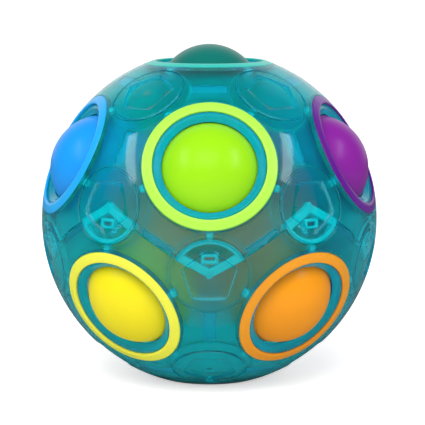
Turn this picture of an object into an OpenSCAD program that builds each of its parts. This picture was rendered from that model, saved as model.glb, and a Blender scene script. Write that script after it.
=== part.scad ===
// Colour-matching ball puzzle: a hollow translucent sphere with twelve round ports.
// Eleven coloured balls stand in the ports, backed by one soft core, and one port is empty.
// A ball is pressed in against the core and passed under the shell into the empty port.
// Millimetres. The origin is on the surface that the sphere stands on, below its centre.

/* [Shell] */
// Outside diameter of the sphere
shell_d = 70; // [68:0.5:78]
// Wall thickness between the ribs
shell_wall = 2.8; // [2.5:0.1:3.2]
// Gap along the zigzag joint of the two halves
seam_gap = 0.3; // [0.1:0.05:0.4]

/* [Colour rings] */
// Outside diameter of a ring where its face meets the shell
ring_d = 26.4; // [25:0.1:27]
// Width of a ring, from its bore to its outer wall
ring_w = 2.1; // [1.6:0.1:2.6]
// Height of a ring's outer wall, which is the depth of its seat
ring_h = 1.4; // [1:0.1:1.6]
// Width of the flat land round a ring's mouth
ring_land = 0.5; // [0.3:0.1:0.8]
// Clearance round a ring in its seat
ring_fit = 0.1; // [0.05:0.05:0.2]

/* [Ports] */
// Diameter of the lip that keeps a ball in
lip_d = 18.7; // [18:0.1:19.4]
// How far the funnel's outer edge lies below the ring's mouth
funnel_drop = 0.35; // [0.2:0.05:0.6]

/* [Balls] */
// Diameter of a ball
ball_d = 21.8; // [21:0.1:22.4]
// How far a ball stands out of the sphere
ball_proud = 1.4; // [0.8:0.1:1.8]
// Clearance between a ball and its seat in the shell
ball_gap = 0.3; // [0.25:0.05:0.5]

/* [Core] */
// Clearance between the core and the balls that it backs
core_gap = 0.2; // [0.1:0.05:0.4]
// Wall thickness of the hollow core
core_wall = 2.5; // [1.5:0.1:4]

/* [Discs] */
// Diameter of the round disc at each meeting of three ports
disc_d = 15; // [13:0.1:15.4]
// Thickness of a disc at its rim, where it laps over the other half
disc_t = 1.2; // [1:0.1:1.4]
// Width of the groove round a disc
groove_w = 0.35; // [0.2:0.05:0.5]
// Depth of the groove round a disc
groove_depth = 0.35; // [0.2:0.05:0.5]
// Corner-to-corner diameter of the five-sided recess in a disc
pentagon_d = 11.4; // [9:0.1:12]
// Depth of the five-sided recess
pentagon_depth = 0.4; // [0.2:0.05:0.6]
// Clearance between a lapping disc and the half under it
lap_fit = 0.1; // [0.05:0.05:0.2]

/* [Catches] */
// Width of the catch under a lapping disc
catch_w = 3; // [2:0.1:4]
// Length of the catch, away from the disc's centre
catch_l = 1.4; // [1:0.1:2]
// Distance from the disc's centre to the middle of the catch
catch_offset = 3.7; // [3:0.1:4.4]

/* [Ribs] */
// Width of a rib that runs from disc to disc
rib_w = 2.4; // [1.6:0.1:3]
// Width of a rib that runs along the zigzag joint, which the two halves share
seam_rib_w = 1.6; // [1.2:0.1:2.4]
// Height of the ribs on the inner wall
rib_h = 1; // [0.6:0.1:1.2]
// Width of the short rib between a disc and a port
nub_w = 1.5; // [1:0.1:2]

/* [Hidden] */
$fn = 96;

shell_r = shell_d / 2;
inner_r = shell_r - shell_wall;
ring_r = ring_d / 2;
ring_bore_r = ring_r - ring_w;
lip_r = lip_d / 2;
ball_r = ball_d / 2;
disc_r = disc_d / 2;
pentagon_r = pentagon_d / 2;
// Overlap that lets a catch fuse with its disc, and a short rib start under a disc's rim
bond = 0.3;
// Distance past the sphere that every cutter reaches
past = 3;

// Height of the sphere's surface above its centre, at a distance r from the axis of a feature
function surface_h(r) = sqrt(shell_r * shell_r - r * r);
// The same for the inner wall
function inner_h(r) = sqrt(inner_r * inner_r - r * r);

// The sphere stands on the land of the empty port's ring
mouth_h = surface_h(ring_bore_r + ring_land);
seat_h = surface_h(ring_r) - ring_h;
disc_floor = surface_h(disc_r) - disc_t;
ball_h = shell_r + ball_proud - ball_r;
core_r = ball_h - ball_r - core_gap;
// The lip lies where the ball's seat has the lip's radius
seat_r = ball_r + ball_gap;
lip_h = ball_h + sqrt(seat_r * seat_r - lip_r * lip_r);

// Angles between the axes of the twelve ports, the twenty discs and the thirty ribs
port_turn = atan(2);
disc_turn = atan(3 - sqrt(5));
far_disc_turn = atan(3 + sqrt(5));
rib_turn = port_turn / 2;
far_rib_turn = 90 - rib_turn;
lap = 360 / 5;
half_lap = lap / 2;
// A rib's length is the straight line between the axes of its two discs
rib_l = 2 * inner_r * sin((far_disc_turn - disc_turn) / 2);
// Room between a disc's rim and the ring next to it, along the surface's chord
nub_l = shell_r * sin(disc_turn - asin(ring_r / shell_r)) - disc_r;

// Puts a feature, drawn on +Z, at a tilt from +Z and a turn round the sphere
module place(tilt, turn, spin = 0) {
    rotate([0, 0, turn]) rotate([tilt, 0, 0]) rotate([0, 0, spin]) children();
}

// Ports of the upper half: the top one and five round it
module upper_ports() {
    children();
    for (i = [0 : 4]) place(port_turn, i * lap) children();
}

// The lower half is the upper one turned over
module turned_over() {
    rotate([180, 0, 0]) children();
}

// Discs that lie wholly on the upper half
module upper_discs() {
    for (i = [0 : 4]) place(disc_turn, half_lap + i * lap) children();
}

// Discs of the upper half that lap over the lower half; +Y points to the lower half
module lapping_discs() {
    for (i = [0 : 4]) place(far_disc_turn, half_lap + i * lap, 180) children();
}

// Discs of the lower half that lap over the upper half; +Y points to the upper half
module lapped_discs() {
    for (i = [0 : 4]) place(180 - far_disc_turn, i * lap) children();
}

// Direction of the zigzag's corner i, from the centre: it goes up to a lapping disc, then down
function zigzag(i) =
    let (tilt = i % 2 == 0 ? far_disc_turn : 180 - far_disc_turn)
    let (turn = half_lap * (i + 1))
    [sin(tilt) * sin(turn), -sin(tilt) * cos(turn), cos(tilt)];

// Space above the zigzag joint: ten flat faces that meet at the centre, carried up past the sphere
module upper_space() {
    reach = shell_d;
    low = [for (i = [0 : 9]) zigzag(i) * reach];
    high = [for (p = low) [p[0], p[1], p[2] + 2 * reach]];
    points = concat([[0, 0, 0], [0, 0, 2 * reach]], low, high);
    floor_faces = [for (i = [0 : 9]) [0, 2 + i, 2 + (i + 1) % 10]];
    roof_faces = [for (i = [0 : 9]) [1, 12 + (i + 1) % 10, 12 + i]];
    side_faces = [for (i = [0 : 9]) [2 + i, 12 + i, 12 + (i + 1) % 10, 2 + (i + 1) % 10]];
    translate([0, 0, seam_gap / 2])
        polyhedron(points, concat(floor_faces, roof_faces, side_faces));
}

// One disc's outline as a solid bar, from a height above the centre to past the sphere
module disc_bar(from_h, r) {
    translate([0, 0, from_h]) cylinder(h = shell_r + past - from_h, r = r);
}

// Groove round a disc, out to the clearance round a lapping disc
module disc_groove() {
    difference() {
        disc_bar(inner_r, disc_r + lap_fit);
        disc_bar(inner_r - past, disc_r - groove_w);
        sphere(r = shell_r - groove_depth);
    }
}

// Five-sided recess in a disc, one corner towards +Y; its corners slope outwards at 45 degrees
module pentagon_recess() {
    h = shell_wall + past;
    low_r = pentagon_r - (surface_h(pentagon_r) - inner_r);
    difference() {
        translate([0, 0, inner_r]) rotate([0, 0, 90])
            cylinder(h = h, r1 = low_r, r2 = low_r + h, $fn = 5);
        sphere(r = shell_r - pentagon_depth);
    }
}

// Catch under a lapping disc, which hooks through a window in the other half
module catch_block(fit) {
    w = catch_w + 2 * fit;
    l = catch_l + 2 * fit;
    h = disc_floor + bond - inner_r + past;
    translate([-w / 2, catch_offset - l / 2, inner_r - past]) cube([w, l, h]);
}

// What is cut from the shell at a port: the ring's seat, the funnel and the ball's own space
module port_cut() {
    rotate_extrude() polygon([
        [0, ball_h],
        [lip_r, ball_h],
        [lip_r, lip_h],
        [ring_bore_r - ring_fit, mouth_h - funnel_drop],
        [ring_bore_r - ring_fit, seat_h],
        [ring_r + ring_fit, seat_h],
        [ring_r + ring_fit, shell_r + past],
        [0, shell_r + past]
    ]);
    translate([0, 0, ball_h]) sphere(r = seat_r);
}

// Three short ribs from under a disc's rim to the ports round it
module nubs() {
    h = inner_h(disc_r) - rib_h;
    for (i = [0 : 2])
        rotate([0, 0, i * 120]) translate([-nub_w / 2, disc_r - bond, h])
            cube([nub_w, nub_l + bond, shell_r - h]);
}

// Straight rib between two discs
module rib_bar(w) {
    l = rib_l - disc_d;
    h = inner_h(w / 2) - rib_h;
    translate([-l / 2, -w / 2, h]) cube([l, w, shell_r - h]);
}

// Every rib on the upper half's inner wall, as bars that reach out into the wall
module upper_ribs() {
    for (i = [0 : 4]) {
        place(rib_turn, i * lap) rib_bar(rib_w);
        place(far_rib_turn, half_lap + i * lap, 90) rib_bar(rib_w);
        place(90, half_lap / 2 + i * lap, rib_turn) rib_bar(seam_rib_w);
        place(90, -half_lap / 2 + i * lap, -rib_turn) rib_bar(seam_rib_w);
    }
    upper_discs() nubs();
    lapping_discs() nubs();
}

// The hollow of the sphere, less the ribs that stand into it
module hollow() {
    difference() {
        sphere(r = inner_r);
        upper_ribs();
    }
}

// The upper half: its share of the wall, with discs that lap over the lower half
module upper_half() {
    difference() {
        sphere(r = shell_r);
        hollow();
        lower_share();
        upper_ports() port_cut();
        upper_discs() pentagon_recess();
        lapping_discs() pentagon_recess();
        upper_discs() disc_groove();
        lapping_discs() disc_groove();
    }
}

// Everything that isn't the upper half's
module lower_share() {
    difference() {
        union() {
            difference() {
                cube(4 * shell_r, center = true);
                upper_space();
            }
            lapped_discs() {
                disc_bar(disc_floor - lap_fit, disc_r + lap_fit);
                catch_block(lap_fit);
            }
        }
        lapping_discs() {
            disc_bar(disc_floor, disc_r);
            catch_block(0);
        }
    }
}

// One colour ring: its face follows the sphere, down to a flat land at the mouth
module port_ring() {
    rotate_extrude() intersection() {
        circle(r = shell_r);
        translate([ring_bore_r, seat_h]) square([ring_r - ring_bore_r, mouth_h - seat_h]);
    }
}

module port_ball() {
    translate([0, 0, ball_h]) sphere(r = ball_r);
}

// Lifts what is drawn round the sphere's centre onto the surface it stands on
module standing() {
    translate([0, 0, mouth_h]) children();
}

module upper_shell() { color([0.05, 0.62, 0.74, 0.55]) standing() upper_half(); }
module lower_shell() { color([0.05, 0.62, 0.74, 0.55]) standing() turned_over() upper_half(); }
module inner_core() {
    color([0.85, 0.9, 0.92]) standing() difference() {
        sphere(r = core_r);
        sphere(r = core_r - core_wall);
    }
}

// Ports are named by the colour of their ring: the top one, then the upper and lower rounds
module at_top() { standing() children(); }
module at_upper(i) { standing() place(port_turn, i * lap) children(); }
module at_lower(i) { standing() place(180 - port_turn, half_lap + i * lap) children(); }
module at_bottom() { standing() turned_over() children(); }

module turquoise_ring() { color([0, 0.84, 0.78]) at_top() port_ring(); }
module lime_ring() { color([0.72, 1, 0.3]) at_upper(0) port_ring(); }
module purple_ring() { color([0.48, 0.12, 0.62]) at_upper(1) port_ring(); }
module pink_ring() { color([1, 0.45, 0.7]) at_upper(2) port_ring(); }
module green_ring() { color([0.1, 0.7, 0.25]) at_upper(3) port_ring(); }
module blue_ring() { color([0.1, 0.7, 1]) at_upper(4) port_ring(); }
module orange_ring() { color([1, 0.65, 0]) at_lower(0) port_ring(); }
module navy_ring() { color([0.1, 0.2, 0.65]) at_lower(1) port_ring(); }
module red_ring() { color([0.9, 0.1, 0.1]) at_lower(2) port_ring(); }
module white_ring() { color([0.95, 0.95, 0.95]) at_lower(3) port_ring(); }
module yellow_ring() { color([1, 1, 0.3]) at_lower(4) port_ring(); }
module grey_ring() { color([0.6, 0.62, 0.65]) at_bottom() port_ring(); }

module turquoise_ball() { color([0, 0.55, 0.5]) at_top() port_ball(); }
module lime_ball() { color([0.6, 0.9, 0.1]) at_upper(0) port_ball(); }
module purple_ball() { color([0.55, 0.12, 0.63]) at_upper(1) port_ball(); }
module pink_ball() { color([1, 0.35, 0.6]) at_upper(2) port_ball(); }
module green_ball() { color([0.05, 0.6, 0.2]) at_upper(3) port_ball(); }
module blue_ball() { color([0, 0.6, 1]) at_upper(4) port_ball(); }
module orange_ball() { color([1, 0.5, 0.05]) at_lower(0) port_ball(); }
module navy_ball() { color([0.08, 0.15, 0.55]) at_lower(1) port_ball(); }
module red_ball() { color([0.85, 0.06, 0.08]) at_lower(2) port_ball(); }
module white_ball() { color([0.93, 0.93, 0.93]) at_lower(3) port_ball(); }
module yellow_ball() { color([1, 0.92, 0]) at_lower(4) port_ball(); }

upper_shell();
lower_shell();
inner_core();
turquoise_ring();
lime_ring();
purple_ring();
pink_ring();
green_ring();
blue_ring();
orange_ring();
navy_ring();
red_ring();
white_ring();
yellow_ring();
grey_ring();
turquoise_ball();
lime_ball();
purple_ball();
pink_ball();
green_ball();
blue_ball();
orange_ball();
navy_ball();
red_ball();
white_ball();
yellow_ball();
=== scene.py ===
# %% [markdown]
# Colour-matching ball puzzle
#
# The real object is a hollow ball of translucent teal plastic, moulded in two halves. Twelve
# coloured rings mark its twelve round ports, and eleven coloured balls stand in them.
# This lesson dresses the solid model: it keeps every size and place, and adds the rounded
# edges, the finishes and the light that make it look like moulded plastic.

# %% Load the solid model
import math

import bmesh
import bpy
from mathutils import Matrix, Vector


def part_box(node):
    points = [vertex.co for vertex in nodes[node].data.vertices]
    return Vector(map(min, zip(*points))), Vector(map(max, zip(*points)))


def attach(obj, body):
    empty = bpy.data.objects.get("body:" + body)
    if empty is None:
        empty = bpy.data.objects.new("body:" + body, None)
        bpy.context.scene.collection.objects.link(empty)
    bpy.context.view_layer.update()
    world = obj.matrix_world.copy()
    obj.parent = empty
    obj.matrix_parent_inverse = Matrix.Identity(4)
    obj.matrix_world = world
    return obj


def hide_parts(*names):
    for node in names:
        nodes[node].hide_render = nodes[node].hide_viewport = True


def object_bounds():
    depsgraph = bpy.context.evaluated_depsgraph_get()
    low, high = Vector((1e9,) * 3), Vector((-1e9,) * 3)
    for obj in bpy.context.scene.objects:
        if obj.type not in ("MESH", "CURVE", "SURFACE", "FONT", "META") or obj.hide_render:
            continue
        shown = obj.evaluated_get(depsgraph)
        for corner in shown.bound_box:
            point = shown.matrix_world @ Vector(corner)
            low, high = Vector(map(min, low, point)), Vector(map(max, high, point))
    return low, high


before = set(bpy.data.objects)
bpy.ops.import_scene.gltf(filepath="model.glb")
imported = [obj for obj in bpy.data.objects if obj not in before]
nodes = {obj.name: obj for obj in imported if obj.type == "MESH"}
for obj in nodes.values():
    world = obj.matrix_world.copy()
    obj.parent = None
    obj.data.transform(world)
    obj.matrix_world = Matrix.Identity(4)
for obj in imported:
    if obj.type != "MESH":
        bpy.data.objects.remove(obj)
cad_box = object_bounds()
print("loaded", len(nodes), "solids")

# %% [markdown]
# Every place on this object comes from one idea: a feature is drawn once on an axis that
# points up, then turned so that the axis points out through its port or disc. The centre of
# the ball-shaped core is the centre of the sphere, and each port's direction is the line
# from there to its ball. Only the empty port at the bottom has no ball.

# %% Find the centre and the port directions
MM = 0.001
core_low, core_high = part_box("inner_core")
CENTRE = (core_low + core_high) / 2
ring_low, ring_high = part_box("turquoise_ring")
RING_R = (ring_high.x - ring_low.x) / 2
SEAT_H = ring_low.z - CENTRE.z
MOUTH_H = ring_high.z - CENTRE.z
SHELL_R = (cad_box[1].x - cad_box[0].x) / 2
ball_low, ball_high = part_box("turquoise_ball")
BALL_R = (ball_high.x - ball_low.x) / 2
BALL_H = (ball_high.z + ball_low.z) / 2 - CENTRE.z

COLOURS = ["turquoise", "lime", "purple", "pink", "green", "blue",
           "orange", "navy", "red", "white", "yellow"]


def port_direction(colour):
    low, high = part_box(colour + "_ball")
    return ((low + high) / 2 - CENTRE).normalized()


PORTS = {colour: port_direction(colour) for colour in COLOURS}
PORTS["grey"] = Vector((0, 0, -1))
print(f"sphere radius {SHELL_R / MM:.2f} mm, ball radius {BALL_R / MM:.2f} mm")

# %% [markdown]
# A disc lies where three ports meet, so its direction is the sum of three port directions
# that are all next to each other. Neighbouring ports are 63.4 degrees apart, and the next
# ones are 116.6, so a limit of 70 degrees picks the neighbours.

# %% Find the disc directions
NEIGHBOUR = math.radians(70)


def near(a, b):
    return a.angle(b) < NEIGHBOUR


def disc_directions():
    found = []
    names = sorted(PORTS)
    for i, a in enumerate(names):
        for j in range(i + 1, len(names)):
            for k in range(j + 1, len(names)):
                p, q, r = PORTS[a], PORTS[names[j]], PORTS[names[k]]
                if near(p, q) and near(q, r) and near(p, r):
                    found.append((p + q + r).normalized())
    return found


def outward(direction):
    """The matrix that turns a piece drawn on +Z to point out of the sphere."""
    turn = direction.to_track_quat("Z", "Y").to_matrix().to_4x4()
    return Matrix.Translation(CENTRE) @ turn


DISCS = disc_directions()
print(len(DISCS), "discs")

# %% [markdown]
# The camera comes first, because everything is judged through it. A long lens from the
# front and a little above keeps the sphere round. The small shift places the sphere a
# touch left of and below the middle of the picture.

# %% Camera
CAMERA_DISTANCE = 0.37575
CAMERA_RISE = math.radians(8.53)
CAMERA_TURN = math.radians(-0.11)
LENS = 151.6
SENSOR_W = 36
SHIFT_X = 0.0075
SHIFT_Y = 0.0125
NEAREST = 0.01
FARTHEST = 20

cam_data = bpy.data.cameras.new("camera")
cam_data.lens = LENS
cam_data.sensor_width = SENSOR_W
cam_data.shift_x = SHIFT_X
cam_data.shift_y = SHIFT_Y
cam_data.clip_start = NEAREST
cam_data.clip_end = FARTHEST
camera = bpy.data.objects.new("camera", cam_data)
bpy.context.scene.collection.objects.link(camera)
back = Vector((math.sin(CAMERA_TURN) * math.cos(CAMERA_RISE),
               -math.cos(CAMERA_TURN) * math.cos(CAMERA_RISE),
               math.sin(CAMERA_RISE)))
camera.location = CENTRE + back * CAMERA_DISTANCE
camera.rotation_mode = "QUATERNION"
camera.rotation_quaternion = (-back).to_track_quat("-Z", "Y")
bpy.context.scene.camera = camera
bpy.context.scene.view_settings.view_transform = "Standard"
print("camera", tuple(round(c, 3) for c in camera.location))

# %% [markdown]
# Small helpers for materials. A material is a Principled BSDF whose own sockets hold the
# numbers that are the same all over. What changes over the surface comes from a node group.


# %% Material helpers
def new_group(name, inputs, outputs):
    group = bpy.data.node_groups.new(name, "ShaderNodeTree")
    for label, kind, value in inputs:
        socket = group.interface.new_socket(label, in_out="INPUT", socket_type=kind)
        socket.default_value = value
    for label, kind in outputs:
        group.interface.new_socket(label, in_out="OUTPUT", socket_type=kind)
    start = group.nodes.new("NodeGroupInput")
    end = group.nodes.new("NodeGroupOutput")
    return group, start, end


def new_material(name):
    material = bpy.data.materials.new(name)
    material.use_nodes = True
    tree = material.node_tree
    return material, tree, tree.nodes["Principled BSDF"]


def rgb(red, green, blue):
    """A screen colour of 0 to 255 as the linear colour that a shader takes."""
    def linear(c):
        c = c / 255
        return c / 12.92 if c <= 0.04045 else ((c + 0.055) / 1.055) ** 2.4
    return (linear(red), linear(green), linear(blue), 1)


def deeper(tint, share=0.93):
    return rgb(*(c * share for c in tint))


# %% [markdown]
# Moulded plastic is never one flat colour. The melt leaves faint clouds in the tint, and
# the mould's polish leaves a faint ripple in the gloss. One group makes both, from noise
# on Object coordinates, and each material gives it its own two tints and its gloss.

# %% Node group: moulded plastic
CLOUD_DETAIL = 3
RIPPLE_SIZE = 900
RIPPLE_DETAIL = 2

moulded, start, end = new_group(
    "moulded_plastic",
    [("Tint", "NodeSocketColor", (0.8, 0.8, 0.8, 1)),
     ("Cloud Tint", "NodeSocketColor", (0.7, 0.7, 0.7, 1)),
     ("Cloud Size", "NodeSocketFloat", 60.0),
     ("Gloss", "NodeSocketFloat", 0.2),
     ("Gloss Change", "NodeSocketFloat", 0.08)],
    [("Color", "NodeSocketColor"), ("Roughness", "NodeSocketFloat"),
     ("Height", "NodeSocketFloat")])
coordinates = moulded.nodes.new("ShaderNodeTexCoord")
clouds = moulded.nodes.new("ShaderNodeTexNoise")
clouds.inputs["Detail"].default_value = CLOUD_DETAIL
ripple = moulded.nodes.new("ShaderNodeTexNoise")
ripple.inputs["Scale"].default_value = RIPPLE_SIZE
ripple.inputs["Detail"].default_value = RIPPLE_DETAIL
blend = moulded.nodes.new("ShaderNodeMix")
blend.data_type = "RGBA"
gloss = moulded.nodes.new("ShaderNodeMath")
gloss.operation = "MULTIPLY_ADD"
links = moulded.links
links.new(coordinates.outputs["Object"], clouds.inputs["Vector"])
links.new(coordinates.outputs["Object"], ripple.inputs["Vector"])
links.new(start.outputs["Cloud Size"], clouds.inputs["Scale"])
links.new(clouds.outputs["Fac"], blend.inputs["Factor"])
links.new(start.outputs["Tint"], blend.inputs["A"])
links.new(start.outputs["Cloud Tint"], blend.inputs["B"])
links.new(clouds.outputs["Fac"], gloss.inputs[0])
links.new(start.outputs["Gloss Change"], gloss.inputs[1])
links.new(start.outputs["Gloss"], gloss.inputs[2])
links.new(blend.outputs["Result"], end.inputs["Color"])
links.new(gloss.outputs["Value"], end.inputs["Roughness"])
links.new(ripple.outputs["Fac"], end.inputs["Height"])
print("group", moulded.name)

# %% [markdown]
# Every plastic on the object is made by one function. Its gloss is the roughness where the
# clouds are thinnest, its change is how much rougher it gets in a cloud, and its shine is
# the strength of the reflection.

# %% Plastic
CLOUD_SIZE = 60
RIPPLE_SHOWS = 0.02
RIPPLE_DEPTH = 0.2 * MM


def plastic(name, tint, cloud_tint, gloss, change=0.08, shine=0.5):
    """A moulded plastic, with its material, its node tree and its shader."""
    material, tree, shader = new_material(name)
    shader.inputs["Specular IOR Level"].default_value = shine
    group = tree.nodes.new("ShaderNodeGroup")
    group.node_tree = moulded
    group.inputs["Tint"].default_value = tint
    group.inputs["Cloud Tint"].default_value = cloud_tint
    group.inputs["Cloud Size"].default_value = CLOUD_SIZE
    group.inputs["Gloss"].default_value = gloss
    group.inputs["Gloss Change"].default_value = change
    bump = tree.nodes.new("ShaderNodeBump")
    bump.inputs["Strength"].default_value = RIPPLE_SHOWS
    bump.inputs["Distance"].default_value = RIPPLE_DEPTH
    tree.links.new(group.outputs["Color"], shader.inputs["Base Color"])
    tree.links.new(group.outputs["Roughness"], shader.inputs["Roughness"])
    tree.links.new(group.outputs["Height"], bump.inputs["Height"])
    tree.links.new(bump.outputs["Normal"], shader.inputs["Normal"])
    return material, tree, shader


# %% [markdown]
# The shell is a tinted see-through plastic. Its outside is polished, so the shine on it is
# sharp. Its inside is left matt by the mould, so what lies right behind the wall is clear
# and the balls further in are only a glow of colour. A wall that is seen at a slant is seen
# through more plastic, so a Layer Weight node mixes in a deeper tint there. Light that goes
# on to the balls is filtered less, by a Light Path node, or the inside would be too dark.

# %% See-through plastic
PLASTIC_IOR = 1.45
DEEPEST_SLANT = 0.25
# The tint of the painted glow of ribs and thick pieces.
PAINTED_GLOW_TINT = rgb(0, 200, 208)


def see_through(name, tint, deep_tint, gloss, change, transmission, painted_glow=0.0, lets_in=None):
    """Tinted plastic that looks deeper where it is seen at a slant, through more of it.

    Light on its way in to light the balls takes the lets_in tint instead.
    """
    material, tree, shader = plastic(name, rgb(*tint), deeper(tint), gloss=gloss, change=change)
    shader.inputs["Transmission Weight"].default_value = transmission
    shader.inputs["IOR"].default_value = PLASTIC_IOR
    # Emission paints a faint glow into the ribs and the thick pieces: painted light, as no lamp
    # is there.
    shader.inputs["Emission Color"].default_value = PAINTED_GLOW_TINT
    shader.inputs["Emission Strength"].default_value = painted_glow
    slant = tree.nodes.new("ShaderNodeLayerWeight")
    slant.inputs["Blend"].default_value = 0.5
    reach = tree.nodes.new("ShaderNodeMapRange")
    reach.inputs["From Max"].default_value = DEEPEST_SLANT
    depth = tree.nodes.new("ShaderNodeMix")
    depth.data_type = "RGBA"
    depth.inputs["B"].default_value = rgb(*deep_tint)
    shown = shader.inputs["Base Color"].links[0].from_socket
    tree.links.new(slant.outputs["Facing"], reach.inputs["Value"])
    tree.links.new(reach.outputs["Result"], depth.inputs["Factor"])
    tree.links.new(shown, depth.inputs["A"])
    tree.links.new(depth.outputs["Result"], shader.inputs["Base Color"])
    if lets_in:
        rays = tree.nodes.new("ShaderNodeLightPath")
        way_in = tree.nodes.new("ShaderNodeMath")
        way_in.operation = "MINIMUM"
        way_in.inputs[1].default_value = 1.0
        filtered = tree.nodes.new("ShaderNodeMix")
        filtered.data_type = "RGBA"
        filtered.inputs["B"].default_value = rgb(*lets_in)
        tree.links.new(rays.outputs["Diffuse Depth"], way_in.inputs[0])
        tree.links.new(way_in.outputs["Value"], filtered.inputs["Factor"])
        tree.links.new(depth.outputs["Result"], filtered.inputs["A"])
        tree.links.new(filtered.outputs["Result"], shader.inputs["Base Color"])
    return material


print("see-through plastic, refractive index", PLASTIC_IOR)

# %% [markdown]
# Ribs, bars, nubs and lips are thick, and thick plastic of this kind scatters more light,
# so they get a fuller and brighter teal. The ribs and the thickest pieces also get a faint
# painted glow from emission, which stands in for the light carried in them. The edges of
# the recesses get a darker, partly clouded teal: partly a clouded finish, partly painted
# shade that draws their outlines. The soft core has the warm tan of plain rubber, which
# turns olive behind the teal.

# %% Shell and core materials
LIGHT_IN = (255, 255, 255)
polished_wall = see_through(
    "teal_polished_wall", (190, 248, 244), (0, 246, 255), gloss=0.05, change=0.04,
    transmission=0.97, lets_in=LIGHT_IN)
matt_wall = see_through(
    "teal_matt_wall", (188, 248, 243), (0, 246, 255), gloss=0.34, change=0.12,
    transmission=0.84, lets_in=LIGHT_IN)
# Ribs: a brighter teal with a weak painted glow.
rib_teal_painted_glow = see_through(
    "teal_rib_painted_glow", (20, 215, 235), (0, 195, 230), gloss=0.3, change=0.1, transmission=0.4,
    painted_glow=0.06)
# Recess edges: a partly clouded teal that is darker than the wall. The darkness is painted
# shade along the recess outlines.
edge_teal_painted_shade = see_through(
    "teal_moulded_edge_painted_shade", (70, 195, 210), (0, 170, 200), gloss=0.12, change=0.06,
    transmission=0.6)
# Thick pieces: a full teal with the stronger painted glow.
thick_teal_painted_glow = see_through(
    "teal_thick_rib_painted_glow", (0, 225, 228), (0, 210, 225), gloss=0.3, change=0.1,
    transmission=0.1, painted_glow=0.2)
lip_teal = see_through(
    "teal_lip", (0, 212, 228), (0, 195, 225), gloss=0.1, change=0.06, transmission=0.5)

core_rubber = plastic(
    "soft_core", rgb(236, 190, 112), rgb(222, 172, 98), gloss=0.55, change=0.1)[0]
nodes["inner_core"].data.materials.clear()
nodes["inner_core"].data.materials.append(core_rubber)
print("shell and core finishes made")

# %% [markdown]
# Each ring and ball is opaque coloured plastic. The tints are listed by the port's colour
# name, first the ring's and then the ball's, so that a colour is changed in one place.

# %% Ring and ball colours
RING_TINTS = {
    "turquoise": (0, 200, 185), "lime": (182, 246, 78), "purple": (102, 0, 150),
    "pink": (255, 120, 180), "green": (40, 185, 80), "blue": (0, 180, 255),
    "orange": (255, 165, 0), "navy": (35, 60, 170), "red": (230, 40, 45),
    "white": (240, 240, 240), "yellow": (255, 255, 70), "grey": (150, 155, 162),
}
BALL_TINTS = {
    "turquoise": (0, 120, 110), "lime": (160, 232, 0), "purple": (140, 25, 160),
    "pink": (250, 95, 160), "green": (20, 160, 60), "blue": (0, 160, 255),
    "orange": (255, 160, 0), "navy": (25, 45, 150), "red": (215, 25, 30),
    "white": (235, 235, 235), "yellow": (255, 238, 0),
}

ring_plastics = {
    colour: plastic(colour + "_ring_plastic", rgb(*tint), deeper(tint), gloss=0.24,
                    shine=0.9)[0]
    for colour, tint in RING_TINTS.items()}
ball_plastics = {
    colour: plastic(colour + "_ball_plastic", rgb(*tint), deeper(tint), gloss=0.28)[0]
    for colour, tint in BALL_TINTS.items()}
print(len(ring_plastics), "ring finishes,", len(ball_plastics), "ball finishes")

# %% [markdown]
# A turned piece is a section that is spun round Z. These helpers draw the section, spin it,
# and round off the sharp corners of a piece. A finished piece sits at the world's origin,
# with its place in its mesh, so the last helper moves the mesh, shades it smooth and lets
# the piece ride on its body.

# %% Piece helpers
SEAM = 1e-7
CORNER = math.radians(30)


def profile_chain(mesh, corners):
    """Joins (radius, height) corners into a closed section, ready to spin round Z."""
    verts = [mesh.verts.new((r, 0, h)) for r, h in corners]
    for here, there in zip(verts, verts[1:] + verts[:1]):
        mesh.edges.new((here, there))


def spin_round(mesh, steps):
    bmesh.ops.spin(mesh, geom=mesh.verts[:] + mesh.edges[:], cent=(0, 0, 0),
                   axis=(0, 0, 1), angle=2 * math.pi, steps=steps, use_merge=True)
    bmesh.ops.remove_doubles(mesh, verts=mesh.verts, dist=SEAM)


def soften_corners(mesh, width, segments=3):
    edges = [e for e in mesh.edges if len(e.link_faces) == 2 and e.calc_face_angle() > CORNER]
    bmesh.ops.bevel(mesh, geom=edges, offset=width, affect="EDGES", segments=segments,
                    profile=0.5, material=-1)


def finish_piece(mesh, name, material, body, matrix):
    bmesh.ops.transform(mesh, matrix=matrix, verts=mesh.verts)
    bmesh.ops.recalc_face_normals(mesh, faces=mesh.faces)
    for face in mesh.faces:
        face.smooth = True
    data = bpy.data.meshes.new(name)
    mesh.to_mesh(data)
    mesh.free()
    data.materials.append(material)
    piece = bpy.data.objects.new(name, data)
    bpy.context.scene.collection.objects.link(piece)
    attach(piece, body)
    return piece


# %% [markdown]
# Ten of the discs lie on the zigzag joint. Each is a tab of one half that laps over the
# pointed tip of the other. The tip's two edges are stiffened by a bar that meets the other
# at the disc's centre, and the tab has an arc of rib under its rim on that side. The joint
# runs from disc to disc, so a tip's edges point to the two neighbouring discs on the joint.

# %% Joint discs and their neighbours
JOINT_REACH = 0.5
JOINT_DISCS = [d for d in DISCS if abs(d.z) < JOINT_REACH]


def joint_neighbours(disc):
    return sorted((d for d in JOINT_DISCS if d is not disc), key=lambda d: -d.dot(disc))[:2]


def tip_matrix(disc):
    """Turns +Z out through the disc and +Y towards the middle of the tip under it."""
    a, b = joint_neighbours(disc)
    up = (a + b - 2 * disc * (a + b).dot(disc) / 2).normalized()
    side = up.cross(disc).normalized()
    turn = Matrix((side, up, disc)).transposed().to_4x4()
    return Matrix.Translation(CENTRE) @ turn


print(len(JOINT_DISCS), "discs on the joint")

# %% [markdown]
# The solid halves already have the right shape, down to the ribs, the laps and the catches.
# Their meshes are loose triangles, so a copy of each is merged. Each of the copy's faces
# gets its finish from where it lies. A face is on one of the two spheres, in a port's lip,
# on a rib that stands in from the inner wall, in a catch, or on the edge of a recess.

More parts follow.
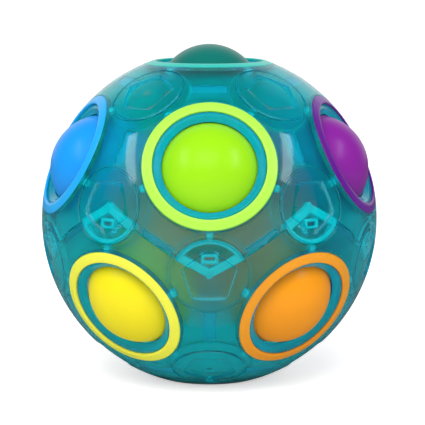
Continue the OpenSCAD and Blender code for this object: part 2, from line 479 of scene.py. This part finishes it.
# %% Finish of each face
WALL = 2.8 * MM
INNER_R = SHELL_R - WALL
ON_SPHERE = 0.02 * MM
LIP_REACH = 13.5 * MM
LIP_DEPTH = 27 * MM
IN_WALL = 0.05 * MM
RIB_STANDS = 0.1 * MM
NEAR_INSIDE = 0.3 * MM
RECESS_DEPTH = 0.5 * MM
EDGE_SLOPE = math.radians(15)
CATCH_HALF_W = 1.8 * MM
CATCH_NEAR, CATCH_FAR = 2.8 * MM, 4.6 * MM
JOINT_FRAMES = [tip_matrix(disc).inverted() for disc in JOINT_DISCS]
FINISHES = [polished_wall, matt_wall, rib_teal_painted_glow, lip_teal, edge_teal_painted_shade]
POLISHED, MATT, RIB, LIP, EDGE = range(len(FINISHES))


def in_catch(place):
    """True for a place in the catch or its window under a disc on the joint."""
    for joint in JOINT_FRAMES:
        seen = joint @ place
        if seen.z > 0 and abs(seen.x) < CATCH_HALF_W and CATCH_NEAR < seen.y < CATCH_FAR:
            return True
    return False


def in_lip(middle, reach):
    """True for a face in a port's wall, given from the centre of the sphere."""
    for port in PORTS.values():
        along = middle.dot(port)
        if along > LIP_DEPTH and (middle - port * along).length < LIP_REACH:
            if max(reach) > INNER_R + IN_WALL:
                return True
    return False


def finish_of(face):
    """The number of a face's finish, from how far it lies from the centre and the ports."""
    spokes = [v.co - CENTRE for v in face.verts]
    middle = sum(spokes, Vector()) / len(spokes)
    reach = [s.length for s in spokes]
    if all(abs(r - SHELL_R) < ON_SPHERE for r in reach):
        return POLISHED
    if all(abs(r - INNER_R) < ON_SPHERE for r in reach):
        return MATT
    if in_lip(middle, reach):
        return LIP
    if min(reach) < INNER_R - RIB_STANDS:
        return RIB
    if max(reach) < SHELL_R - RECESS_DEPTH and in_catch(CENTRE + middle):
        return RIB
    if max(reach) < INNER_R + NEAR_INSIDE:
        return MATT
    shallow = min(reach) > SHELL_R - RECESS_DEPTH
    return EDGE if shallow and face.normal.angle(middle) > EDGE_SLOPE else POLISHED


print(len(FINISHES), "finishes for the shell")

# %% [markdown]
# The halves keep hard edges at their corners. On the two spheres, every corner normal is
# set to point straight out from the centre or in to it, so that shines run smoothly over
# the sphere and don't show its triangles.

# %% Shell halves
SHARP = math.radians(25)
SAME_PLACE = 1e-6


def round_normals(data):
    data.set_sharp_from_angle(angle=SHARP)
    normals = [Vector(n.vector) for n in data.corner_normals]
    for face in data.polygons:
        spokes = [data.vertices[v].co - CENTRE for v in face.vertices]
        for radius, sign in ((SHELL_R, 1), (INNER_R, -1)):
            if all(abs(s.length - radius) < ON_SPHERE for s in spokes):
                for loop, spoke in zip(face.loop_indices, spokes):
                    normals[loop] = spoke.normalized() * sign
    data.normals_split_custom_set(normals)


def make_half(node):
    mesh = bmesh.new()
    mesh.from_mesh(nodes[node].data)
    bmesh.ops.remove_doubles(mesh, verts=mesh.verts, dist=SAME_PLACE)
    for face in mesh.faces:
        face.smooth = True
        face.material_index = finish_of(face)
    data = bpy.data.meshes.new(node + "_moulding")
    mesh.to_mesh(data)
    mesh.free()
    for finish in FINISHES:
        data.materials.append(finish)
    round_normals(data)
    half = bpy.data.objects.new(node + "_moulding", data)
    bpy.context.scene.collection.objects.link(half)
    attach(half, "shell")
    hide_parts(node)
    return half


halves = [make_half("upper_shell"), make_half("lower_shell")]
for half in halves:
    counts = [0] * len(FINISHES)
    for face in half.data.polygons:
        counts[face.material_index] += 1
    print(half.name, "polished, matt, rib, lip and edge faces:", counts)

# %% [markdown]
# A colour ring is a turned shape, so half of its section is drawn and spun round the axis.
# Its face follows the sphere down to a narrow flat land at the mouth. A small bevel on the
# corners catches the light, as the rounded edges of a moulded ring do.

# %% Colour rings
LAND = 0.5 * MM
BORE_R = 11.1 * MM
RING_EDGE = 0.22 * MM
FACE_STEPS = 4
RING_STEPS = 120


def ring_face():
    """Corners along the ring's face, from its outer wall to the flat land."""
    outer, inner = RING_R, BORE_R + LAND
    radii = [outer + (inner - outer) * i / FACE_STEPS for i in range(FACE_STEPS + 1)]
    return [(r, math.sqrt(SHELL_R ** 2 - r ** 2)) for r in radii]


def make_ring(colour):
    mesh = bmesh.new()
    corners = [(RING_R, SEAT_H)] + ring_face() + [(BORE_R, MOUTH_H), (BORE_R, SEAT_H)]
    profile_chain(mesh, corners)
    spin_round(mesh, RING_STEPS)
    bmesh.ops.recalc_face_normals(mesh, faces=mesh.faces)
    soften_corners(mesh, RING_EDGE)
    ring = finish_piece(mesh, colour + "_colour_ring", ring_plastics[colour], "shell",
                        outward(PORTS[colour]))
    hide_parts(colour + "_ring")
    return ring


rings = [make_ring(colour) for colour in PORTS]
print(len(rings), "rings,", len(rings[0].data.polygons), "faces each")

# %% [markdown]
# A ball is an icosphere, because its faces are all nearly the same size and leave no
# pinched pole in the shine.

# %% Balls
BALL_SUBDIVISIONS = 5


def make_ball(colour):
    mesh = bmesh.new()
    bmesh.ops.create_icosphere(mesh, subdivisions=BALL_SUBDIVISIONS, radius=BALL_R,
                               matrix=Matrix.Translation((0, 0, BALL_H)))
    ball = finish_piece(mesh, colour + "_shift_ball", ball_plastics[colour],
                        colour + "_ball", outward(PORTS[colour]))
    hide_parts(colour + "_ball")
    return ball


balls = [make_ball(colour) for colour in COLOURS]
print(len(balls), "balls,", len(balls[0].data.polygons), "faces each")

# %% [markdown]
# Inside the shell, a fine bead runs round under each disc's rim and stiffens it. It is seen
# as a soft hoop through the plastic. It is a short tube with rounded edges that hangs from
# the inner wall.

# %% Beads under the discs
BEAD_IN = 7.7 * MM
BEAD_OUT = 8.2 * MM
BEAD_DEEP = 0.5 * MM
BEAD_EDGE = 0.1 * MM
BEAD_STEPS = 72


def hanging_section(mesh, inner, outer, depth):
    """Draws a section that hangs from the inner wall between two radii."""
    high_in = math.sqrt(INNER_R ** 2 - inner ** 2)
    high_out = math.sqrt(INNER_R ** 2 - outer ** 2)
    low = high_out - depth
    profile_chain(mesh, [(outer, low), (outer, high_out), (inner, high_in), (inner, low)])


def make_bead(number, direction):
    mesh = bmesh.new()
    hanging_section(mesh, BEAD_IN, BEAD_OUT, BEAD_DEEP)
    spin_round(mesh, BEAD_STEPS)
    bmesh.ops.recalc_face_normals(mesh, faces=mesh.faces)
    soften_corners(mesh, BEAD_EDGE, segments=2)
    bead = finish_piece(mesh, f"disc_bead_{number:02d}", matt_wall, "shell",
                        outward(direction))
    return bead


beads = [make_bead(i + 1, d) for i, d in enumerate(DISCS)]
print(len(beads), "beads")

# %% [markdown]
# Under each disc on the joint, the edges of the tip, the disc's rim and the window of the
# catch are thicker than the wall. Each is a short bmesh piece with rounded edges. It is set
# a little way into the wall, so that it shows through the polished outside. A bar is a cube
# that is stretched, moved out from the disc's centre and turned by 60 degrees.

# %% Bars along the edges of the tips
BAR_W = 1.7 * MM
BAR_SHIFT = 0.3 * MM
BAR_START = -0.7 * MM
BAR_REACH = 7.2 * MM
BAR_LOW = 31.3 * MM
BAR_HIGH = 33.5 * MM
BAR_EDGE = 0.25 * MM
TIP_TURN = math.radians(60)


def stretched_bar(mesh, width, start, end, low, high, shift=0.0):
    """A rounded bar along +Y between two distances from the disc's axis."""
    bmesh.ops.create_cube(mesh, size=1)
    bmesh.ops.scale(mesh, vec=(width, end - start, high - low), verts=mesh.verts)
    bmesh.ops.translate(mesh, vec=(shift, (start + end) / 2, (low + high) / 2),
                        verts=mesh.verts)
    soften_corners(mesh, BAR_EDGE)


def make_tip_bar(name, disc, side):
    mesh = bmesh.new()
    stretched_bar(mesh, BAR_W, BAR_START, BAR_REACH, BAR_LOW, BAR_HIGH, shift=side * BAR_SHIFT)
    spun = Matrix.Rotation(side * TIP_TURN, 4, "Z")
    bar = finish_piece(mesh, name, thick_teal_painted_glow, "shell", tip_matrix(disc) @ spun)
    return bar


for number, disc in enumerate(JOINT_DISCS, 1):
    make_tip_bar(f"tip_bar_a_{number:02d}", disc, 1)
    make_tip_bar(f"tip_bar_b_{number:02d}", disc, -1)
print(2 * len(JOINT_DISCS), "tip bars")

# %% [markdown]
# The arc is a stretch of a turned ring. Its section is spun through a third of a turn, and
# its two open ends are filled.

# %% Arcs under the rims of the tabs
ARC_IN = 6.4 * MM
ARC_OUT = 7.3 * MM
ARC_LOW = 31.6 * MM
ARC_HIGH = 33.5 * MM
ARC_EDGE = 0.12 * MM
ARC_STEPS = 28
ARC_ANGLE = 2 * math.pi / 3


def make_tab_arc(name, disc):
    mesh = bmesh.new()
    profile_chain(mesh, [(ARC_OUT, ARC_LOW), (ARC_OUT, ARC_HIGH), (ARC_IN, ARC_HIGH),
                         (ARC_IN, ARC_LOW)])
    bmesh.ops.spin(mesh, geom=mesh.verts[:] + mesh.edges[:], cent=(0, 0, 0), axis=(0, 0, 1),
                   angle=ARC_ANGLE, steps=ARC_STEPS)
    bmesh.ops.holes_fill(mesh, edges=[e for e in mesh.edges if e.is_boundary])
    bmesh.ops.recalc_face_normals(mesh, faces=mesh.faces)
    soften_corners(mesh, ARC_EDGE, segments=2)
    centred = Matrix.Rotation(math.pi / 2 - ARC_ANGLE / 2, 4, "Z")
    arc = finish_piece(mesh, name, thick_teal_painted_glow, "shell", tip_matrix(disc) @ centred)
    return arc


for number, disc in enumerate(JOINT_DISCS, 1):
    make_tab_arc(f"tab_arc_{number:02d}", disc)
print(len(JOINT_DISCS), "tab arcs")

# %% [markdown]
# The window of the catch has a thick rectangular rim. A flat rectangle is inset, its inner
# face is taken out, and what is left is given its thickness, which makes a closed loop.

# %% Loops round the windows of the catches
LOOP_W = 3.3 * MM
LOOP_L = 2.1 * MM
LOOP_BAR = 0.65 * MM
LOOP_Y = 3.4 * MM
LOOP_LOW = 32.3 * MM
LOOP_HIGH = 33.45 * MM
LOOP_EDGE = 0.18 * MM


def make_catch_loop(name, disc):
    mesh = bmesh.new()
    bmesh.ops.create_grid(mesh, x_segments=1, y_segments=1, size=0.5)
    bmesh.ops.scale(mesh, vec=(LOOP_W, LOOP_L, 1), verts=mesh.verts)
    bmesh.ops.translate(mesh, vec=(0, LOOP_Y, LOOP_HIGH), verts=mesh.verts)
    rim = bmesh.ops.inset_individual(mesh, faces=mesh.faces[:], thickness=LOOP_BAR,
                                     use_even_offset=True)["faces"]
    window = [face for face in mesh.faces if face not in rim]
    bmesh.ops.delete(mesh, geom=window, context="FACES_ONLY")
    bmesh.ops.solidify(mesh, geom=mesh.faces[:], thickness=LOOP_HIGH - LOOP_LOW)
    bmesh.ops.recalc_face_normals(mesh, faces=mesh.faces)
    soften_corners(mesh, LOOP_EDGE)
    loop = finish_piece(mesh, name, thick_teal_painted_glow, "shell", tip_matrix(disc))
    return loop


for number, disc in enumerate(JOINT_DISCS, 1):
    make_catch_loop(f"catch_loop_{number:02d}", disc)
print(len(JOINT_DISCS), "catch loops")

# %% [markdown]
# Between a disc and each of its three ports stands a short thick nub, which keeps the wall
# from flexing there. It is the same rounded bar, turned to point from the disc to the port.

# %% Nubs
NUB_W = 1.4 * MM
NUB_START = 7.4 * MM
NUB_END = 9.0 * MM
NUB_LOW = 30.5 * MM
NUB_HIGH = 32.9 * MM


def make_nub(name, disc, port):
    mesh = bmesh.new()
    stretched_bar(mesh, NUB_W, NUB_START, NUB_END, NUB_LOW, NUB_HIGH)
    ahead = (port - disc * port.dot(disc)).normalized()
    turn = Matrix((ahead.cross(disc), ahead, disc)).transposed().to_4x4()
    nub = finish_piece(mesh, name, thick_teal_painted_glow, "shell", Matrix.Translation(CENTRE) @ turn)
    return nub


for number, disc in enumerate(DISCS, 1):
    nearest = sorted(PORTS.values(), key=lambda port: -port.dot(disc))[:3]
    for letter, port in zip("abc", nearest):
        make_nub(f"disc_nub_{number:02d}_{letter}", disc, port)
print(3 * len(DISCS), "nubs")

# %% [markdown]
# The floor is a wide pale disc. Its own colour is nearly white. A little glow takes the
# open floor to white, seen straight on or through the shell, while the shade under the
# object stays. In reflections the floor is dim, so the plastic keeps its colour.

# %% Floor
FLOOR_R = 3
FLOOR_STEPS = 96
FLOOR_ROUGHNESS = 0.8
FLOOR_SHINE = 0.1
FLOOR_PALE = (0.85, 0.85, 0.85, 1)
FLOOR_IN_REFLECTIONS = (0.15, 0.15, 0.15, 1)
FLOOR_GLOW = 0.55

floor_mesh = bmesh.new()
bmesh.ops.create_circle(floor_mesh, cap_ends=True, segments=FLOOR_STEPS,
                        radius=FLOOR_R)
floor_data = bpy.data.meshes.new("floor")
floor_mesh.to_mesh(floor_data)
floor_mesh.free()
floor = bpy.data.objects.new("floor", floor_data)
bpy.context.scene.collection.objects.link(floor)
floor_paint, floor_tree, floor_shader = new_material("pale_floor")
floor_tint = floor_tree.nodes.new("ShaderNodeMix")
floor_tint.data_type = "RGBA"
floor_tint.inputs["A"].default_value = FLOOR_PALE
floor_tint.inputs["B"].default_value = FLOOR_IN_REFLECTIONS
floor_shader.inputs["Roughness"].default_value = FLOOR_ROUGHNESS
floor_shader.inputs["Specular IOR Level"].default_value = FLOOR_SHINE
floor_rays = floor_tree.nodes.new("ShaderNodeLightPath")
floor_glow = floor_tree.nodes.new("ShaderNodeMath")
floor_glow.operation = "MULTIPLY"
floor_glow.inputs[1].default_value = FLOOR_GLOW
floor_tree.links.new(floor_rays.outputs["Is Glossy Ray"], floor_tint.inputs["Factor"])
floor_tree.links.new(floor_tint.outputs["Result"], floor_shader.inputs["Base Color"])
floor_seen = floor_tree.nodes.new("ShaderNodeMath")
floor_seen.operation = "MAXIMUM"
floor_tree.links.new(floor_rays.outputs["Is Camera Ray"], floor_seen.inputs[0])
floor_tree.links.new(floor_rays.outputs["Is Transmission Ray"], floor_seen.inputs[1])
floor_tree.links.new(floor_seen.outputs["Value"], floor_glow.inputs[0])
floor_tree.links.new(floor_glow.outputs["Value"], floor_shader.inputs["Emission Strength"])
floor_shader.inputs["Emission Color"].default_value = (1, 1, 1, 1)
floor_data.materials.append(floor_paint)
print("floor radius", FLOOR_R, "m")

# %% [markdown]
# The light is a plain product studio. The world lights everything evenly, and it is white
# where it is seen straight on or through the shell. In reflections it is bright only behind
# the object and dim in front, as a studio's white sweep and its dark camera side are, so
# the plastic keeps its colour.

# %% World
EVEN_LIGHT = 0.6
SWEEP = {"From Min": 0.4, "From Max": 0.95, "To Min": 0.06, "To Max": 0.8}

world = bpy.data.worlds.new("studio")
bpy.context.scene.world = world
world.use_nodes = True
world_tree = world.node_tree
world_back = world_tree.nodes["Background"]
world_back.inputs["Color"].default_value = (1, 1, 1, 1)
rays = world_tree.nodes.new("ShaderNodeLightPath")
direction = world_tree.nodes.new("ShaderNodeTexCoord")
split = world_tree.nodes.new("ShaderNodeSeparateXYZ")
sweep = world_tree.nodes.new("ShaderNodeMapRange")
sweep.interpolation_type = "SMOOTHSTEP"
for label, value in SWEEP.items():
    sweep.inputs[label].default_value = value
seen = world_tree.nodes.new("ShaderNodeMath")
seen.operation = "MAXIMUM"
even = world_tree.nodes.new("ShaderNodeMix")
even.inputs["A"].default_value = EVEN_LIGHT
shiny = world_tree.nodes.new("ShaderNodeMix")
shiny.inputs["B"].default_value = 1.0
links = world_tree.links
links.new(direction.outputs["Generated"], split.inputs["Vector"])
links.new(split.outputs["Y"], sweep.inputs["Value"])
links.new(rays.outputs["Is Glossy Ray"], even.inputs["Factor"])
links.new(sweep.outputs["Result"], even.inputs["B"])
links.new(rays.outputs["Is Camera Ray"], seen.inputs[0])
links.new(rays.outputs["Is Transmission Ray"], seen.inputs[1])
links.new(seen.outputs["Value"], shiny.inputs["Factor"])
links.new(even.outputs["Result"], shiny.inputs["A"])
links.new(shiny.outputs["Result"], world_back.inputs["Strength"])
print("world made")

# %% [markdown]
# Two tall narrow soft boxes stand to the left and right and lean back over the object. They
# leave the upright pale shines on the shell. A wide box in front and above lights the balls
# from over the camera. It is left out of the reflections, so it shapes without glare.


# %% Soft boxes
def soft_box(name, way, upright, distance, size, power, shines=True):
    """A lamp that faces the centre from a way out of it, at a distance, in metres and watts."""
    lamp = bpy.data.lights.new(name, "AREA")
    lamp.shape = "RECTANGLE"
    lamp.size, lamp.size_y = size
    lamp.energy = power
    box = bpy.data.objects.new(name, lamp)
    bpy.context.scene.collection.objects.link(box)
    out = Vector(way).normalized()
    side = Vector(upright).cross(out).normalized()
    turn = Matrix((side, out.cross(side), out)).transposed().to_4x4()
    box.matrix_world = Matrix.Translation(CENTRE + out * distance) @ turn
    box.visible_glossy = shines
    return box


soft_box("left_box", way=(-0.73, -0.29, 0.6), upright=(0.17, 0.65, 0.44), distance=0.7,
         size=(0.075, 0.4), power=0.42)
soft_box("right_box", way=(0.72, -0.29, 0.6), upright=(-0.17, 0.65, 0.44), distance=0.7,
         size=(0.085, 0.4), power=0.48)
soft_box("front_box", way=(-0.1, -0.7, 0.75), upright=(0, 0, 1), distance=0.9,
         size=(0.7, 0.5), power=5.5, shines=False)
print("soft boxes placed")
